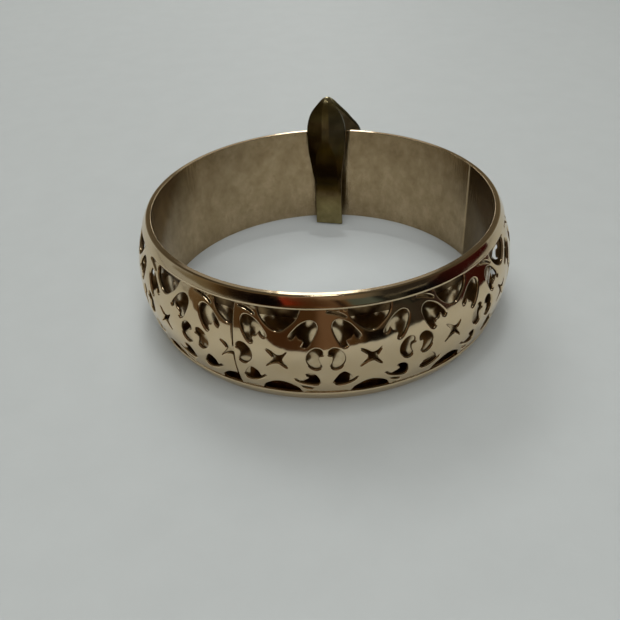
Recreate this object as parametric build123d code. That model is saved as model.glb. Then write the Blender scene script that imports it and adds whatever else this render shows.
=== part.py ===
from build123d import *
from math import asin, cos, degrees, radians, sin
import os

# A closed, domed bangle that lies flat on its bottom rim, in millimetres.
# +Z runs along the wrist axis, and the origin is on that axis, level with the foot.
# An azimuth is counted in degrees from -Y, the front, towards +X.

# Driving sizes of the whole ring, whose wall is thin at both edges and domed between them
INNER_RADIUS = 31.75
BAND_WIDTH = 21.0
EDGE_THICKNESS = 0.95
CROWN_THICKNESS = 3.65

# The liner, and the rims that its edges are rolled into
LINER_SHEET = 0.4
RIM_SHEET = 0.35
RIM_BEND = 0.7
RIM_WIDTH = 2.1
RIM_PROUD = 0.2
INNER_ROUND = 0.35
OUTER_ROUND = 0.5
SEAM_AZIMUTH = 111.0
SEAM_WIDTH = 0.3
SEAM_DEPTH = 0.15

# The pierced sheet, whose edges are tucked under the rims
PIERCED_SHEET = 0.55
TUCK_LENGTH = 0.8
TUCK_CLEARANCE = 0.06
EDGE_GAP = 0.08
CRACK_AZIMUTH = -25.4
CRACK_WIDTH = 0.2
REPEAT_LENGTH = 15.3
LAST_REPEAT = 0.5245
NOTCH_ROUND = 0.4
CUTTER_REACH = 2.2

# The brass clip that straddles the wall at the back
CLIP_AZIMUTH = 176.6
CLIP_TURN = 9.0
CLIP_STRAP = 0.95
CLIP_RIDGE = 0.9
CLIP_BAR_WIDTH = 6.0
CLIP_LEAF_WIDTH = 8.4
CLIP_RISE = 7.2
CLIP_CLEARANCE = 0.3

# Sizes that follow from the driving ones
RIM_RADIUS = INNER_RADIUS + EDGE_THICKNESS
CROWN_RADIUS = INNER_RADIUS + CROWN_THICKNESS
WALL_MIDDLE = INNER_RADIUS + CROWN_THICKNESS / 2
MID_HEIGHT = BAND_WIDTH / 2
RIM_BULGE = CROWN_RADIUS + RIM_PROUD - RIM_RADIUS
RIM_ARC = (MID_HEIGHT**2 + RIM_BULGE**2) / (2 * RIM_BULGE)
ARC_CENTRE = CROWN_RADIUS + RIM_PROUD - RIM_ARC
SHEET_ARC = RIM_ARC - RIM_PROUD
OPEN_HALF = MID_HEIGHT - RIM_WIDTH
CRACK_ANGLE = degrees(CRACK_WIDTH / CROWN_RADIUS)
STRIP_ANGLE = 360 - CRACK_ANGLE
STRIP_LENGTH = radians(STRIP_ANGLE) * CROWN_RADIUS
WHOLE_REPEATS = round(STRIP_LENGTH / REPEAT_LENGTH - LAST_REPEAT)
REPEAT_ANGLE = STRIP_ANGLE / (WHOLE_REPEATS + LAST_REPEAT)
FITTED_LENGTH = radians(REPEAT_ANGLE) * CROWN_RADIUS
CLIP_HEIGHT = BAND_WIDTH + CLIP_RISE
CLIP_SPREAD = CROWN_THICKNESS / 2 + CLIP_CLEARANCE

# One repeat of the piercing. Whole repeats run round the strip, and the last one is cut short
# at a share of itself, just past the middle of its cross, so the repeat is fitted to the strip.
# Each outline is a chain of arcs: its points are by turns the end of an arc and a place that
# the arc passes. Across is a share of the repeat's length, from the middle of a pair of
# brackets, or from the middle of the cross for what sits over or under it. Up is a share of
# half the open height, from the middle of the band.
BRACKET = [
    ("across", "up"),
    (0.060, 0.245),
    (0.130, 0.235),
    (0.185, 0.140),
    (0.207, 0.010),
    (0.180, -0.160),
    (0.140, -0.232),
    (0.090, -0.250),
    (0.052, -0.222),
    (0.046, -0.170),
    (0.072, -0.020),
    (0.060, 0.110),
    (0.042, 0.105),
    (0.030, 0.125),
    (0.038, 0.200),
]
BELL = [
    ("across", "up"),
    (0.076, 0.670),
    (0.092, 0.785),
    (0.163, 0.825),
    (0.255, 0.755),
    (0.327, 0.620),
    (0.358, 0.560),
    (0.373, 0.480),
    (0.354, 0.420),
    (0.325, 0.450),
    (0.312, 0.500),
    (0.297, 0.540),
    (0.262, 0.445),
    (0.215, 0.425),
    (0.209, 0.375),
    (0.224, 0.320),
    (0.206, 0.258),
    (0.163, 0.315),
    (0.108, 0.480),
]
FULL_LEAF = [
    ("across", "up"),
    (0.196, -0.335),
    (0.147, -0.400),
    (0.107, -0.520),
    (0.078, -0.600),
    (0.076, -0.680),
    (0.112, -0.745),
    (0.196, -0.735),
    (0.290, -0.665),
    (0.346, -0.530),
    (0.318, -0.510),
    (0.277, -0.550),
    (0.240, -0.380),
]
HOOKED_LEAF = [
    ("across", "up"),
    (0.068, -0.600),
    (0.072, -0.700),
    (0.128, -0.748),
    (0.240, -0.690),
    (0.340, -0.570),
    (0.346, -0.530),
    (0.328, -0.520),
    (0.290, -0.585),
    (0.245, -0.575),
    (0.198, -0.515),
    (0.185, -0.430),
    (0.214, -0.420),
    (0.216, -0.365),
    (0.130, -0.355),
]
CROSS = [
    ("across", "up"),
    (-0.125, 0.205),
    (-0.015, 0.060),
    (0.100, 0.190),
    (0.036, -0.010),
    (0.110, -0.225),
    (-0.010, -0.085),
    (-0.130, -0.215),
    (-0.052, -0.005),
]
BOWL = [
    ("across", "up"),
    (-0.218, 1.150),
    (-0.215, 0.940),
    (-0.165, 0.755),
    (-0.090, 0.630),
    (0.000, 0.583),
    (0.090, 0.635),
    (0.165, 0.760),
    (0.220, 0.940),
    (0.226, 1.150),
    (0.000, 1.160),
]
ARCH = [
    ("across", "up"),
    (-0.218, -1.150),
    (-0.214, -0.920),
    (-0.165, -0.760),
    (-0.090, -0.655),
    (0.010, -0.630),
    (0.110, -0.700),
    (0.180, -0.800),
    (0.214, -0.930),
    (0.218, -1.150),
    (0.000, -1.160),
]

# Each motif of a repeat: its outline, whether it is mirrored, and where across it starts
MOTIFS = [
    ("outline", "mirrored", "start"),
    (BRACKET, False, 0.0),
    (BELL, False, 0.0),
    (FULL_LEAF, False, 0.0),
    (CROSS, False, 0.5),
    (BOWL, False, 0.5),
    (ARCH, False, 0.5),
    (BRACKET, True, 1.0),
    (BELL, True, 1.0),
    (HOOKED_LEAF, True, 1.0),
]

# The clip's strap, from the foot of its inner leg over the top to the end of its outer leg.
# Reach is where the strap's inner face lies, as a share of the clip's spread, outward from the
# middle of the wall. Height is a share of the clip's own, and aside a share of the leaf's width.
# Turn is the way the strap runs, in degrees: 90 is straight up, 0 outward over the rim. Width
# names a width, and share is how much of it there is. Flat is the flat part of the face, and
# ridge how far the middle of the face stands proud, both as shares.
CLIP_SECTIONS = [
    ("reach", "height", "aside", "turn", "width", "share", "flat", "ridge"),
    (-2.42, 0.007, 0.11, 88, CLIP_BAR_WIDTH, 1.00, 0.80, 0.10),
    (-2.33, 0.300, 0.10, 87, CLIP_BAR_WIDTH, 1.00, 0.80, 0.10),
    (-2.33, 0.400, 0.09, 86, CLIP_BAR_WIDTH, 1.03, 0.80, 0.60),
    (-1.99, 0.580, 0.06, 82, CLIP_LEAF_WIDTH, 0.92, 0.56, 0.90),
    (-1.73, 0.685, 0.05, 80, CLIP_LEAF_WIDTH, 0.99, 0.18, 1.00),
    (-1.40, 0.790, 0.04, 74, CLIP_LEAF_WIDTH, 1.00, 0.18, 1.00),
    (-0.96, 0.880, 0.02, 64, CLIP_LEAF_WIDTH, 0.80, 0.20, 0.90),
    (-0.45, 0.937, 0.00, 45, CLIP_LEAF_WIDTH, 0.42, 0.22, 0.60),
    (0.03, 0.955, 0.01, 0, CLIP_LEAF_WIDTH, 0.20, 0.25, 0.30),
    (0.60, 0.895, 0.08, -50, CLIP_LEAF_WIDTH, 0.34, 0.22, 0.60),
    (1.14, 0.795, 0.24, -70, CLIP_LEAF_WIDTH, 0.60, 0.20, 0.80),
    (1.40, 0.660, 0.34, -82, CLIP_LEAF_WIDTH, 0.96, 0.20, 0.80),
    (1.58, 0.400, 0.36, -88, CLIP_BAR_WIDTH, 0.80, 0.40, 0.40),
]


def rows(table):
    """A table's rows without its line of column names."""
    return table[1:]


def dome_slice(arc, sheet, half_height):
    """Section of a domed sheet, its outside on the arc, between two heights."""
    window = Pos(ARC_CENTRE + arc, MID_HEIGHT) * Rectangle(2 * arc, 2 * half_height)
    ring = Pos(ARC_CENTRE, MID_HEIGHT) * (Circle(arc) - Circle(arc - sheet))
    return ring & window


def band_envelope():
    """Section of the whole wall without its hollow: liner side, two edges and dome."""
    wall = Line((INNER_RADIUS, 0), (INNER_RADIUS, BAND_WIDTH))
    top = Line((INNER_RADIUS, BAND_WIDTH), (RIM_RADIUS, BAND_WIDTH))
    dome = ThreePointArc(
        (RIM_RADIUS, BAND_WIDTH),
        (CROWN_RADIUS + RIM_PROUD, MID_HEIGHT),
        (RIM_RADIUS, 0),
    )
    foot = Line((RIM_RADIUS, 0), (INNER_RADIUS, 0))
    section = make_face(wall + top + dome + foot)
    section = fillet(section.vertices().sort_by(Axis.X)[2:], OUTER_ROUND)
    return fillet(section.vertices().sort_by(Axis.X)[:2], INNER_ROUND)


def inner_band():
    """The liner, with its two edges rolled outward into the plain rims."""
    wall_back = INNER_RADIUS + LINER_SHEET
    behind = Pos(wall_back + CROWN_THICKNESS, MID_HEIGHT)
    hollow = behind * Rectangle(2 * CROWN_THICKNESS, BAND_WIDTH - 2 * RIM_BEND)
    under_rims = Pos(ARC_CENTRE, MID_HEIGHT) * Circle(RIM_ARC - RIM_SHEET)
    window = behind * Rectangle(2 * CROWN_THICKNESS, 2 * OPEN_HALF)
    section = band_envelope() - (hollow & under_rims) - window
    band = revolve(Plane.XZ * section, axis=Axis.Z)
    seam_box = Box(SEAM_WIDTH, 2 * SEAM_DEPTH, BAND_WIDTH - 2 * RIM_BEND)
    seam = Rot(0, 0, SEAM_AZIMUTH) * Pos(0, -INNER_RADIUS, MID_HEIGHT) * seam_box
    return band - seam


def motif_outline(table, mirrored):
    """Points of a motif's outline, in lengths across and up from its own middle."""
    side = -1 if mirrored else 1
    across = [side * row[0] * FITTED_LENGTH for row in rows(table)]
    up = [row[1] * OPEN_HALF for row in rows(table)]
    return list(zip(across, up))


def arc_face(points):
    """A face inside a chain of arcs: every other point is an end, the rest are passed."""
    ends = points[::2]
    passed = points[1::2]
    following = ends[1:] + ends[:1]
    return make_face([ThreePointArc(*arc) for arc in zip(ends, passed, following)])


def star_face(points):
    """A four-pointed star: straight sides from tip to notch, rounded in the notches."""
    star = make_face(Polyline(*points, close=True))
    middle = star.center()
    corners = star.vertices().sort_by(lambda v: (Vector(v) - middle).length)
    return fillet(corners[: len(points) // 2], NOTCH_ROUND)


def motif_cutter(table, mirrored):
    """A motif as a prism that stands square through the domed sheet, on the front."""
    points = motif_outline(table, mirrored)
    middle_across = (min(p[0] for p in points) + max(p[0] for p in points)) / 2
    middle_up = (min(p[1] for p in points) + max(p[1] for p in points)) / 2
    tilt = asin(middle_up / SHEET_ARC)
    radius = ARC_CENTRE + SHEET_ARC * cos(tilt)
    narrowing = radius / CROWN_RADIUS
    flat = []
    for across, up in points:
        rise = SHEET_ARC * sin(asin(up / SHEET_ARC) - tilt)
        flat.append(((across - middle_across) * narrowing, rise))
    face = star_face(flat) if table is CROSS else arc_face(flat)
    seat = Plane(
        origin=(0, -radius, MID_HEIGHT + SHEET_ARC * sin(tilt)),
        x_dir=(1, 0, 0),
        z_dir=(0, -cos(tilt), sin(tilt)),
    )
    prism = extrude(seat * face, amount=CUTTER_REACH, both=True)
    return Rot(0, 0, degrees(middle_across / CROWN_RADIUS)) * prism


def strip_section():
    """Section of the sheet: the open dome, and the lower edges that sit under the rims."""
    open_sheet = dome_slice(SHEET_ARC, PIERCED_SHEET, OPEN_HALF - EDGE_GAP)
    tucked_arc = RIM_ARC - RIM_SHEET - TUCK_CLEARANCE
    tucked_sheet = PIERCED_SHEET - (SHEET_ARC - tucked_arc)
    return open_sheet + dome_slice(tucked_arc, tucked_sheet, OPEN_HALF + TUCK_LENGTH)


def strip_piece(angle):
    """One repeat of the pierced sheet from the front onward, or as much as the angle holds."""
    sheet = Rot(0, 0, -90) * revolve(Plane.XZ * strip_section(), Axis.Z, angle)
    cutters = []
    for table, mirrored, start in rows(MOTIFS):
        cutters.append(Rot(0, 0, start * REPEAT_ANGLE) * motif_cutter(table, mirrored))
    return sheet - cutters


def pierced_band():
    """The domed outer sheet, pierced through, its ends butting at the crack."""
    repeat = strip_piece(REPEAT_ANGLE)
    pieces = [Rot(0, 0, i * REPEAT_ANGLE) * repeat for i in range(WHOLE_REPEATS)]
    last = strip_piece(LAST_REPEAT * REPEAT_ANGLE)
    pieces.append(Rot(0, 0, WHOLE_REPEATS * REPEAT_ANGLE) * last)
    strip = pieces[0] + pieces[1:]
    return Rot(0, 0, CRACK_AZIMUTH + CRACK_ANGLE / 2) * strip


def clip_section(reach, height, aside, turn, width, share, flat, ridge):
    """One section of the clip's strap, square to the way the strap runs."""
    half = width * share / 2
    flat_half = half * flat
    crest = CLIP_STRAP + ridge * CLIP_RIDGE
    outline = Polyline(
        (-half, 0),
        (half, 0),
        (half, -CLIP_STRAP),
        (flat_half, -crest),
        (-flat_half, -crest),
        (-half, -CLIP_STRAP),
        close=True,
    )
    seat = Plane(
        origin=(aside * CLIP_LEAF_WIDTH, reach * CLIP_SPREAD, height * CLIP_HEIGHT),
        x_dir=(1, 0, 0),
        z_dir=(0, cos(radians(turn)), sin(radians(turn))),
    )
    return seat * make_face(outline)


def back_clip():
    """The folded brass strap with its faceted head, straddling the wall."""
    strap = loft([clip_section(*row) for row in rows(CLIP_SECTIONS)], ruled=True)
    seated = Pos(0, WALL_MIDDLE, 0) * Rot(0, 0, -CLIP_TURN) * strap
    return Rot(0, 0, CLIP_AZIMUTH - 180) * seated


def main():
    os.makedirs("parts", exist_ok=True)
    export_step(inner_band(), "parts/inner_band.step")
    export_step(pierced_band(), "parts/pierced_band.step")
    export_step(back_clip(), "parts/back_clip.step")


main()
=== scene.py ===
# %% [markdown]
# # A pierced bangle, cell by cell
#
# A bangle is a closed ring of thin metal that is pushed over the hand. This one has a smooth
# liner, two plain rims, and a domed outer sheet that is stamped through with curls, leaves and
# crosses. A dark brass clip straddles its wall at the back.
#
# The lesson starts by loading the bangle's exact solids. They fix where everything is. Each
# cell after that builds one piece or one finish on top of them.

import math

import bpy
import numpy as np
from mathutils import Matrix, Vector, kdtree
from mathutils.geometry import delaunay_2d_cdt


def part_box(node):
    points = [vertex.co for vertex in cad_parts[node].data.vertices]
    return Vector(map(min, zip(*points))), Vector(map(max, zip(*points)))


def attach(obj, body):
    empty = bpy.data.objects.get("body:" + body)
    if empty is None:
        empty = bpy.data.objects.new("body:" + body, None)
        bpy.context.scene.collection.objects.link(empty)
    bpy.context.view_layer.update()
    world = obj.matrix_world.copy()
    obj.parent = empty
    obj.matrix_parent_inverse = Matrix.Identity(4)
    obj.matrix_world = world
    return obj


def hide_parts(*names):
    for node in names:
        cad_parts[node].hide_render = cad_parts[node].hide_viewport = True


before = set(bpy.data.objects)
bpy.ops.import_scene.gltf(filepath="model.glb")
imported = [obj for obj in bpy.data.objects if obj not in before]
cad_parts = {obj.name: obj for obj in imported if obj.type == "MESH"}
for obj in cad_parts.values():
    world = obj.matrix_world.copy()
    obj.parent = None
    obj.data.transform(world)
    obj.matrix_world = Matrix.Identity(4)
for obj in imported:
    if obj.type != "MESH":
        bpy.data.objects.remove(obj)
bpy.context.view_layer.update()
MM = 0.001
print("nodes:", sorted(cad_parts))

# %% [markdown]
# ## The camera
#
# The camera comes first, because every later choice is judged through it. A phone held close
# makes the near side of a small ring look much larger than its far side, so the distance
# matters as much as the angle. Elevation and distance give the camera's place. Roll, yaw and
# pitch are the small errors of a hand-held shot: how far the phone was twisted, and how far it
# was turned away from the middle of the ring's foot.

# %% Camera
CAMERA_DISTANCE = 154.07
CAMERA_ELEVATION = math.radians(34.05)
CAMERA_ROLL = math.radians(-2.08)
CAMERA_YAW = math.radians(-1.126)
CAMERA_PITCH = math.radians(-1.530)
SENSOR_WIDTH = 36.0
FOCAL_LENGTH = 43.94


def placed(name, data):
    """A new object in the scene, from a mesh, a light or a camera."""
    thing = bpy.data.objects.new(name, data)
    bpy.context.scene.collection.objects.link(thing)
    return thing


def turned(a, b, angle):
    """Two directions at right angles, both turned by an angle in the plane that they span."""
    c, s = math.cos(angle), math.sin(angle)
    return c * a + s * b, c * b - s * a


def photo_camera():
    """The camera where the photograph was taken from."""
    reach = CAMERA_DISTANCE * MM
    place = Vector((0, -reach * math.cos(CAMERA_ELEVATION), reach * math.sin(CAMERA_ELEVATION)))
    forward = -place.normalized()
    right = Vector((1, 0, 0))
    up = right.cross(forward)
    right, up = turned(right, up, CAMERA_ROLL)
    forward, right = turned(forward, right, CAMERA_YAW)
    forward, up = turned(forward, up, CAMERA_PITCH)
    data = bpy.data.cameras.new("photo_camera")
    data.sensor_width = SENSOR_WIDTH
    data.lens = FOCAL_LENGTH
    data.clip_start = 0.01
    camera = placed("photo_camera", data)
    facing = Matrix((right, up, -forward)).transposed().to_4x4()
    camera.matrix_world = Matrix.Translation(place) @ facing
    bpy.context.scene.camera = camera
    return camera


camera = photo_camera()
print("camera stands at", [round(x, 4) for x in camera.location])

# %% [markdown]
# ## Tools for meshes
#
# Polished metal shows every fault in its shading. Blender can guess the normals of a smooth
# mesh, but on long thin faces the guess is a little wrong, and a mirror makes it plain to see.
# Every surface here has a formula, so each corner gets its exact normal instead.

# %% Mesh and normal helpers
BODY = "root"


def solid_from(name, points, faces, corner_normals, finish):
    """A mesh piece from points in millimetres, with the exact normal at each face's corner."""
    mesh = bpy.data.meshes.new(name)
    mesh.from_pydata([tuple(p) for p in points * MM], [], faces)
    mesh.polygons.foreach_set("use_smooth", [True] * len(faces))
    mesh.polygons.foreach_set("material_index", finish)
    mesh.normals_split_custom_set(corner_normals)
    mesh.update()
    return placed(name, mesh)


def unit(v):
    """Each row of an array as a direction of length one."""
    return v / np.maximum(np.linalg.norm(v, axis=-1, keepdims=True), 1e-9)


def numbered(rings, size):
    """The point numbers of each ring, for rings of one size that follow on."""
    return [list(range(i * size, (i + 1) * size)) for i in range(rings)]


def ladder(lower, upper):
    """Four-sided faces between two closed rings of point numbers."""
    return list(zip(lower, lower[1:] + lower[:1], upper[1:] + upper[:1], upper))


def triangle_count(piece):
    """How many triangles a piece's mesh holds."""
    return sum(len(p.vertices) - 2 for p in piece.data.polygons)


# %% [markdown]
# ## The section of the wall
#
# Cut across, the wall is a flat liner with a shallow dome in front of it. The dome is an arc
# whose middle stands furthest out, halfway up. The rims follow the same arc, a hair prouder
# than the pierced sheet, which is tucked under them.
#
# Heights are counted from the middle of the band, so that top and bottom share every formula.

# %% Sizes of the wall
INNER_RADIUS = 31.75
BAND_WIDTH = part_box("inner_band")[1].z / MM
CROWN_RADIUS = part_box("pierced_band")[1].x / MM
EDGE_THICKNESS = 0.95
RIM_WIDTH = 2.1
RIM_PROUD = 0.2
RIM_SHEET = 0.35
RIM_BEND = 0.7
LINER_SHEET = 0.4
PIERCED_SHEET = 0.55

MID_HEIGHT = BAND_WIDTH / 2
RIM_RADIUS = INNER_RADIUS + EDGE_THICKNESS
RIM_BULGE = CROWN_RADIUS + RIM_PROUD - RIM_RADIUS
RIM_ARC = (MID_HEIGHT**2 + RIM_BULGE**2) / (2 * RIM_BULGE)
ARC_CENTRE = CROWN_RADIUS + RIM_PROUD - RIM_ARC
SHEET_ARC = RIM_ARC - RIM_PROUD
OPEN_HALF = MID_HEIGHT - RIM_WIDTH
WALL_MIDDLE = (INNER_RADIUS + CROWN_RADIUS) / 2
print(f"band {BAND_WIDTH:.2f} mm wide, crown radius {CROWN_RADIUS:.2f}, dome arc {SHEET_ARC:.2f}")

# %% [markdown]
# ## The liner and the rims
#
# On the real bangle the liner is one strip of sheet. Its two edges are rolled outward and back
# over the pierced sheet, and that makes the plain rims. Such a form is the same all the way
# round, so it is turned on a lathe: one closed profile, repeated round the axis.
#
# The profile is a list of corners with a rounding for each. Small roundings matter more than
# they seem to: on polished metal they catch the light as fine bright lines.

# %% Profile of the liner and rims
CORNER_STEPS = 7
INNER_ROUND = 0.10
OUTER_ROUND = 0.42
LIP_ROUND = 0.06
ROLL_ROUND = 0.36
ROLL_START = 8.78
ROLL_DROP = 0.24
LIP_SAG = 0.03
ARC_START = 0.55
FOLD_ROUND = 0.25
FOLD_SHADE = 16.4
DOME_STEPS = 10


def rim_point(up, beneath=0.0):
    """A point of the rim's arc at a height over the middle, or that far beneath its surface."""
    arc = RIM_ARC - beneath
    return (ARC_CENTRE + math.sqrt(arc**2 - up**2), MID_HEIGHT + up)


def rim_run(start, end):
    """Points along the rim's arc between two heights, without a rounding."""
    heights = [start + (end - start) * i / DOME_STEPS for i in range(1, DOME_STEPS)]
    return [(*rim_point(up), 0.0) for up in heights]


def liner_corners():
    """Corners of the closed profile, anticlockwise in radius and height, each with its rounding."""
    back = INNER_RADIUS + LINER_SHEET
    fold = MID_HEIGHT - RIM_BEND
    lower = [
        (INNER_RADIUS, 0.0, INNER_ROUND),
        (RIM_RADIUS, 0.0, OUTER_ROUND),
        *rim_run(ARC_START - MID_HEIGHT, -ROLL_START),
        (*rim_point(-ROLL_START), ROLL_ROUND),
        (*rim_point(-OPEN_HALF, ROLL_DROP), LIP_ROUND),
        (*rim_point(-OPEN_HALF, RIM_SHEET + LIP_SAG), 0.0),
        (*rim_point(-fold, RIM_SHEET), FOLD_ROUND / 2),
        (back, MID_HEIGHT - fold, FOLD_ROUND),
    ]
    upper = [(radius, BAND_WIDTH - height, rounding) for radius, height, rounding in reversed(lower)]
    return [*lower, (back, FOLD_SHADE, 0.0), *upper]


def rounded_profile(corners):
    """Points and outward normals of a closed outline whose corners are rounded off."""
    at = np.array([c[:2] for c in corners])
    before = unit(at - np.roll(at, 1, axis=0))
    after = unit(np.roll(at, -1, axis=0) - at)
    points, normals = [], []
    for p, a, b, (_, _, radius) in zip(at, before, after, corners):
        turn = math.atan2(a[0] * b[1] - a[1] * b[0], a @ b)
        tangent = radius * abs(math.tan(turn / 2))
        bend = math.copysign(radius, turn)
        centre = p - a * tangent - bend * np.array([a[1], -a[0]])
        shares = [i / (CORNER_STEPS - 1) for i in range(CORNER_STEPS)] if radius > 0 else [0.5]
        for share in shares:
            along = a * math.cos(turn * share) + np.array([-a[1], a[0]]) * math.sin(turn * share)
            side = np.array([along[1], -along[0]])
            points.append(centre + bend * side)
            normals.append(side)
    return np.array(points), np.array(normals)


profile, profile_normals = rounded_profile(liner_corners())
print("the liner's profile has", len(profile), "points")

# %% [markdown]
# The liner's two ends meet at a soldered seam, which shows inside as one upright line. One
# end stands a hair prouder than the other, so the line is a tiny step that catches the light,
# and the wall eases back to true over the next few millimetres. The lathe's steps are finer
# where the step is.

# %% Turn the liner
ROUND_STEPS = 360
SEAM_AZIMUTH = 111.0
SEAM_DEPTH = 0.12
SEAM_HALF = 0.16
SEAM_EASE = 4.0
SEAM_STEPS = 11
SEAM_SPAN = 2.2
SEAM_CLEAR = 1.2
SLOPE_STEP = 0.01
PLATED_EDGE = 0.6
LINER_PLATED, LINER_BRUSHED, LINER_HIDDEN, LINER_SHADED_FOLD = range(4)


def seam_azimuths():
    """Azimuths of the lathe's steps, with extra ones across the seam."""
    steps = np.arange(ROUND_STEPS) * 360 / ROUND_STEPS
    wide = math.degrees(SEAM_SPAN * SEAM_HALF / INNER_RADIUS)
    extra = SEAM_AZIMUTH + wide * np.linspace(-1, 1, SEAM_STEPS)
    kept = steps[abs(steps - SEAM_AZIMUTH) > SEAM_CLEAR * wide]
    return np.radians(np.sort(np.append(kept, extra)))


def liner_finish(a, b):
    """Which finish the strip of faces between two points of the profile has."""
    r, z = (a + b) / 2
    beneath = RIM_ARC - math.hypot(r - ARC_CENTRE, z - MID_HEIGHT)
    if r < INNER_RADIUS + 0.01:
        return LINER_BRUSHED
    in_wall = r > INNER_RADIUS + LINER_SHEET / 2 and beneath > RIM_SHEET / 2
    if in_wall and abs(z - MID_HEIGHT) < MID_HEIGHT - PLATED_EDGE:
        # Above FOLD_SHADE the faces inside the wall are painted shade, dark under the top rim
        return LINER_SHADED_FOLD if z > FOLD_SHADE else LINER_HIDDEN
    return LINER_PLATED


def seam_dent(across):
    """How far the inner face lies back at a distance across the seam, in millimetres."""
    step = SEAM_DEPTH / (1 + np.exp(np.clip(across / (SEAM_HALF / 4), -60, 60)))
    return step * np.exp(np.minimum(across, 0) / SEAM_EASE)


def turned_liner():
    """The liner with its rims: the profile turned round the wrist axis."""
    azimuths = seam_azimuths()
    off_seam = (azimuths - math.radians(SEAM_AZIMUTH)) * INNER_RADIUS
    slope = (seam_dent(off_seam + SLOPE_STEP) - seam_dent(off_seam - SLOPE_STEP)) / (2 * SLOPE_STEP)
    inner_face = (profile_normals[:, 0] < -0.99) & (profile[:, 0] < INNER_RADIUS + LINER_SHEET / 2)
    radius = profile[:, 0] + seam_dent(off_seam)[:, None] * inner_face
    lean = slope[:, None] * inner_face
    s, c, level = np.sin(azimuths)[:, None], np.cos(azimuths)[:, None], np.ones((len(azimuths), 1))
    out, up = profile_normals.T
    points = np.stack([radius * s, -radius * c, profile[:, 1] * level], axis=2)
    normals = np.stack([out * s + lean * c, lean * s - out * c, up * level], axis=2)
    normals = unit(normals).reshape(-1, 3)
    rings = numbered(len(azimuths), len(profile))
    faces = [face for here, ahead in zip(rings, rings[1:] + rings[:1]) for face in ladder(ahead, here)]
    corners = [normals[v] for face in faces for v in face]
    finish = [liner_finish(a, b) for a, b in zip(profile, np.roll(profile, -1, axis=0))] * len(rings)
    return solid_from("liner_and_rims", points.reshape(-1, 3), faces, corners, finish)


liner = turned_liner()
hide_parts("inner_band")
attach(liner, BODY)
print("liner and rims:", triangle_count(liner), "triangles")

# %% [markdown]
# ## The pattern, on a flat chart
#
# The outer sheet was stamped flat and bent round afterwards, so it is drawn that way too. The
# chart has two directions, in millimetres: across, along the strip, and up, from the middle of
# the band. One repeat is about 15 mm long, from the middle of one pair of brackets to the next.
#
# Each hole is a short table of points that a smooth closed curve is passed through. The first
# row names the columns. Across is counted from the middle of the pair, or of the cross for what
# sits over or under it.

# %% Outlines of the holes
BRACKET = [
    ("across", "up"),
    (0.45, 0.95), (0.55, 1.6), (1.0, 2.0), (1.65, 2.05), (2.35, 1.65), (2.9, 0.9), (3.1, 0.0),
    (2.95, -0.9), (2.45, -1.65), (1.8, -2.05), (1.15, -1.95), (0.75, -1.45), (1.0, -0.85),
    (1.15, -0.1), (1.05, 0.6), (0.75, 0.75),
]
BELL = [
    ("across", "up"),
    (1.2, 5.6), (1.5, 6.55), (2.5, 6.85), (3.85, 6.25), (4.95, 5.15), (5.65, 4.15), (5.45, 3.6),
    (4.95, 3.85), (4.55, 4.45), (4.1, 3.85), (3.5, 3.6), (3.35, 3.05), (3.55, 2.5), (3.1, 2.2),
    (2.5, 2.65), (1.7, 4.1),
]
FULL_LEAF = [
    ("across", "up"),
    (2.95, -2.9), (2.25, -3.4), (1.65, -4.4), (1.2, -5.4), (1.75, -6.15), (3.0, -6.1),
    (4.25, -5.5), (5.15, -4.6), (4.95, -4.3), (4.35, -4.6), (3.85, -3.6),
]
HOOKED_LEAF = [
    ("across", "up"),
    (1.1, -5.25), (1.3, -5.9), (2.0, -6.1), (3.3, -5.8), (4.5, -5.3), (5.3, -4.6),
    (5.05, -4.35), (4.4, -4.9), (3.5, -4.65), (2.85, -4.0), (3.3, -3.45), (3.05, -3.1),
    (2.25, -3.1), (1.5, -3.8),
]
CROSS = [
    ("across", "up"),
    (-1.95, 1.6), (-1.1, 1.25), (-0.25, 0.65), (0.6, 0.75), (1.4, 1.4), (0.95, 0.55), (0.6, -0.25),
    (1.0, -1.1), (1.5, -1.85), (0.75, -1.4), (0.05, -0.8), (-0.9, -1.05), (-2.0, -1.8),
    (-1.3, -1.0), (-0.75, -0.1), (-1.2, 0.8),
]
BOWL = [
    ("across", "up"),
    (-3.35, 8.95), (-3.35, 7.6), (-2.7, 6.5), (-1.7, 5.6), (-0.8, 5.05), (0.0, 4.85), (0.8, 5.05),
    (1.8, 5.8), (2.8, 6.7), (3.4, 7.7), (3.5, 8.95), (2.0, 9.05), (-1.9, 9.05),
]
ARCH = [
    ("across", "up"),
    (-3.35, -8.75), (-3.2, -7.6), (-2.75, -6.8), (-2.0, -6.15), (-1.1, -5.6), (0.0, -5.4),
    (1.1, -5.65), (2.0, -6.15), (2.75, -6.8), (3.15, -7.6), (3.3, -8.75), (1.9, -8.9), (-1.9, -8.9),
]
SLIVER = [
    ("across", "up"),
    (0.5, 8.15), (1.3, 7.97), (2.4, 7.6), (3.3, 7.2), (3.7, 7.15), (3.35, 7.5), (2.5, 7.92), (1.45, 8.28),
]
EYELET = [
    ("across", "up"),
    (2.25, -6.8), (3.0, -6.6), (3.9, -6.35), (4.3, -6.45), (3.9, -6.9), (3.0, -7.2), (2.4, -7.15),
]

# Each hole of a repeat: its outline, which way it faces, and where across it starts
MOTIFS = [
    ("outline", "side", "start"),
    (BRACKET, 1, 0.0),
    (BELL, 1, 0.0),
    (FULL_LEAF, 1, 0.0),
    (SLIVER, 1, 0.0),
    (CROSS, 1, 0.5),
    (BOWL, 1, 0.5),
    (ARCH, 1, 0.5),
    (BRACKET, -1, 1.0),
    (BELL, -1, 1.0),
    (HOOKED_LEAF, -1, 1.0),
    (EYELET, -1, 1.0),
]
print(len(MOTIFS) - 1, "holes in each repeat")

# %% [markdown]
# A smooth closed curve through a few points is a Catmull-Rom spline: each stretch leaves a
# point in the direction from the one before to the one after. It is sampled finely, and then
# thinned to steps that are short where it bends, so that tips stay round at a low cost.

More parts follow.
